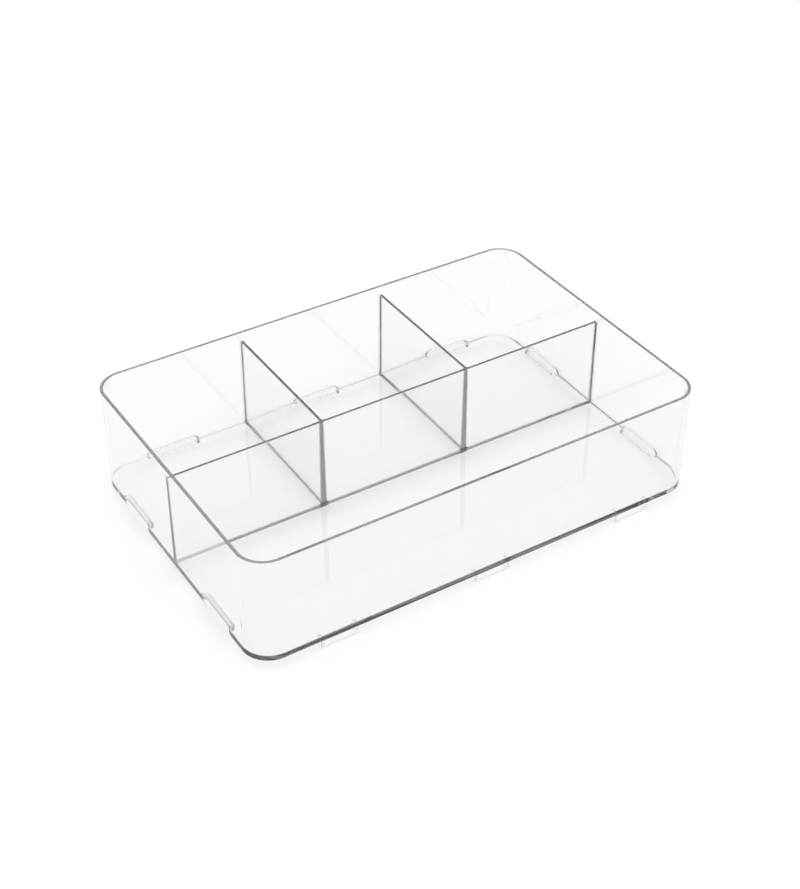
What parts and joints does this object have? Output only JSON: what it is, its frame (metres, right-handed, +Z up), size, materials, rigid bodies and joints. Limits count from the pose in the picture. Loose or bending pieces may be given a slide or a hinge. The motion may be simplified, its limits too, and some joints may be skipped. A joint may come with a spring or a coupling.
{
  "type": "compartment organizer tray",
  "caption": "Clear rectangular drawer tray with rounded corners, a long divider at mid-depth, short cross dividers behind it and small stacking feet under the front edge",
  "frame": {"origin": "centre of the footprint, at the level of the surface that the front feet stand on", "axes": "X along the tray from left to right, Y from the front to the back, Z up"},
  "size_m": [0.305, 0.203, 0.0762],
  "materials": {
    "clear_plastic": "gloss"
  },
  "bodies": {
    "root": {"tray_shell": "clear_plastic", "long_divider": "clear_plastic", "cross_divider_left": "clear_plastic", "cross_divider_right": "clear_plastic", "front_foot_left": "clear_plastic", "front_foot_middle": "clear_plastic", "front_foot_right": "clear_plastic", "back_pad_left": "clear_plastic", "back_pad_middle": "clear_plastic", "back_pad_right": "clear_plastic", "left_pad_front": "clear_plastic", "left_pad_rear": "clear_plastic", "right_pad_front": "clear_plastic", "right_pad_rear": "clear_plastic"}
  },
  "joints": []
}
